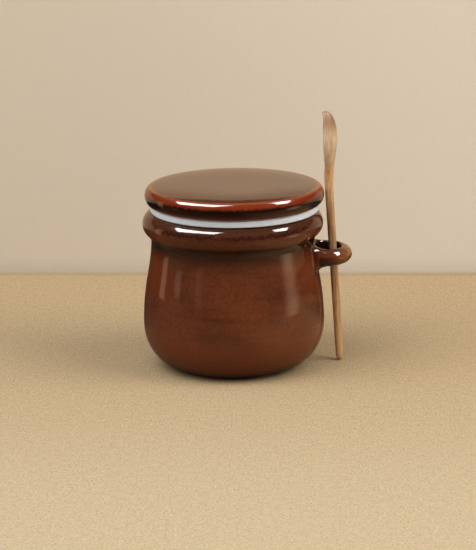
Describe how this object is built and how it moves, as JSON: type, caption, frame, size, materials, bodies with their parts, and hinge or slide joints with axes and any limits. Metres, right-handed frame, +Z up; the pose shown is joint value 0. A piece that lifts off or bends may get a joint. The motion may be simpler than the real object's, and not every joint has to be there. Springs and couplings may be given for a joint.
{
  "type": "stoneware storage jar",
  "caption": "Squat round-bellied glazed stoneware jar with a rolled rim, a flat sealed lid and a side loop that holds a slim wooden spoon.",
  "frame": {"origin": "centre of the jar's flat base, on the surface it stands on", "axes": "+Z up, +X from the jar's axis to the spoon loop, +Y away from the viewer in the picture"},
  "size_m": [0.114, 0.0982, 0.1388],
  "materials": {
    "glaze": "glossy amber-brown glaze, darker where it pools",
    "lid_glaze": "glossy amber-brown glaze, breaking to red-orange at the edge",
    "silicone": "milky translucent silicone",
    "wood": "smooth light brown wood with fine grain"
  },
  "bodies": {
    "root": {"jar": "glaze", "lid": "lid_glaze", "seal": "silicone", "spoon": "wood"}
  },
  "joints": []
}
